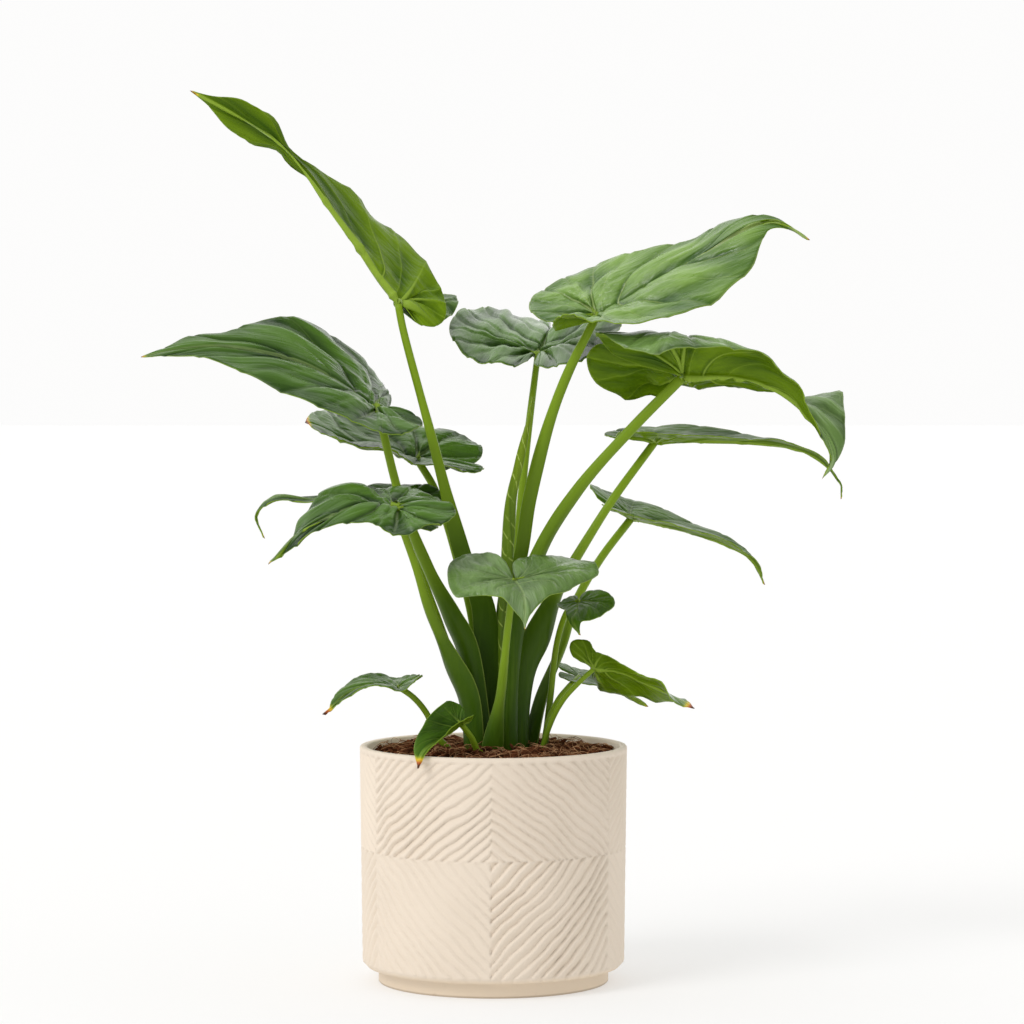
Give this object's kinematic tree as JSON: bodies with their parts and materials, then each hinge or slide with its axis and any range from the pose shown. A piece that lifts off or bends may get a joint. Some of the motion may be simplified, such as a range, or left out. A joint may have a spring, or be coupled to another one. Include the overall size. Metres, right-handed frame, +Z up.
{
  "type": "potted plant",
  "caption": "Potted Chinese taro: glossy heart-shaped leaves on long sheathed stalks, one leaf still rolled, in a round ceramic pot carved with slanting ribs and filled with coir mix.",
  "frame": {"origin": "centre of the pot's flat underside, in the plane of the surface the pot stands on", "axes": "+Z up along the pot's axis and the plant's tallest extent; -Y towards the side seen in front; +X to the right of that side"},
  "size_m": [0.6548, 0.3962, 0.8322],
  "materials": {
    "leaf_blade": "satin",
    "leaf_stalk": "satin",
    "rolled_leaf": "satin",
    "rootstock": "matte",
    "potting_mix": "matte",
    "pot": "matte"
  },
  "bodies": {
    "root": {"blade_big_left": "leaf_blade", "blade_big_right": "leaf_blade", "blade_centre_back": "leaf_blade", "blade_front": "leaf_blade", "blade_long_right": "leaf_blade", "blade_low_left": "leaf_blade", "blade_low_left_back": "leaf_blade", "blade_lower_right": "leaf_blade", "blade_middle_left": "leaf_blade", "blade_small_front": "leaf_blade", "blade_small_left": "leaf_blade", "blade_small_middle": "leaf_blade", "blade_small_right": "leaf_blade", "blade_small_right_back": "leaf_blade", "blade_tall_left": "leaf_blade", "blade_top_right": "leaf_blade", "pot": "pot", "potting_mix": "potting_mix", "rolled_leaf": "rolled_leaf", "rootstock": "rootstock", "stalk_big_left": "leaf_stalk", "stalk_big_right": "leaf_stalk", "stalk_centre_back": "leaf_stalk", "stalk_front": "leaf_stalk", "stalk_long_right": "leaf_stalk", "stalk_low_left": "leaf_stalk", "stalk_low_left_back": "leaf_stalk", "stalk_lower_right": "leaf_stalk", "stalk_middle_left": "leaf_stalk", "stalk_small_front": "leaf_stalk", "stalk_small_left": "leaf_stalk", "stalk_small_middle": "leaf_stalk", "stalk_small_right": "leaf_stalk", "stalk_small_right_back": "leaf_stalk", "stalk_tall_left": "leaf_stalk", "stalk_top_right": "leaf_stalk"}
  },
  "joints": []
}
